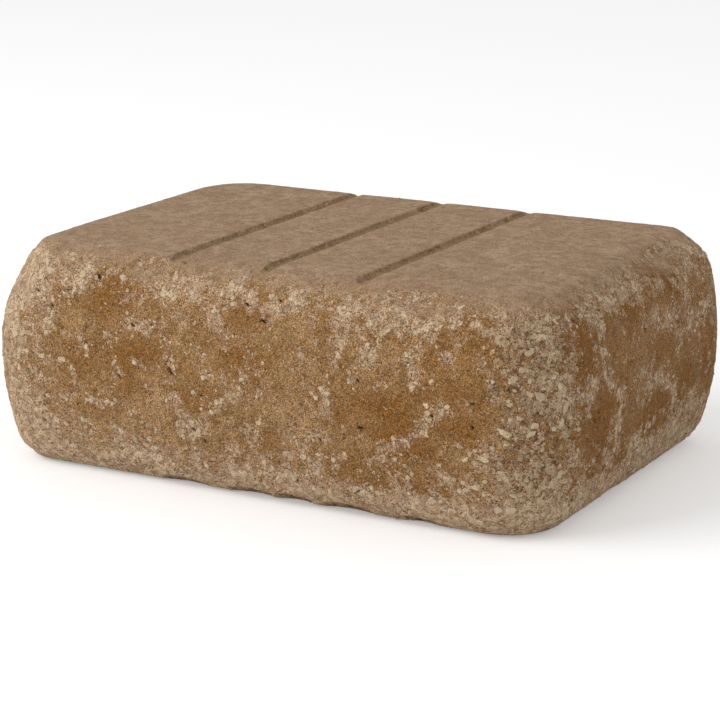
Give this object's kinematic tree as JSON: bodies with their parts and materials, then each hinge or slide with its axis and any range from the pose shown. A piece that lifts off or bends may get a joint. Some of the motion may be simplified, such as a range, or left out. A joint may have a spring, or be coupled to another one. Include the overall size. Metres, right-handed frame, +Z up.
{
  "type": "retaining wall block",
  "caption": "Tumbled concrete retaining wall block with worn, rounded edges, sides that swell at half height and adhesive grooves across the top.",
  "frame": {"origin": "middle of the bed that the block lies on, at the floor", "axes": "+X along the length, to the right as seen from the face; +Y from the face to the back; +Z up, out of the grooved top"},
  "size_m": [0.286, 0.205, 0.102],
  "materials": {
    "concrete": "rough"
  },
  "bodies": {
    "root": {"wall_block": "concrete"}
  },
  "joints": []
}
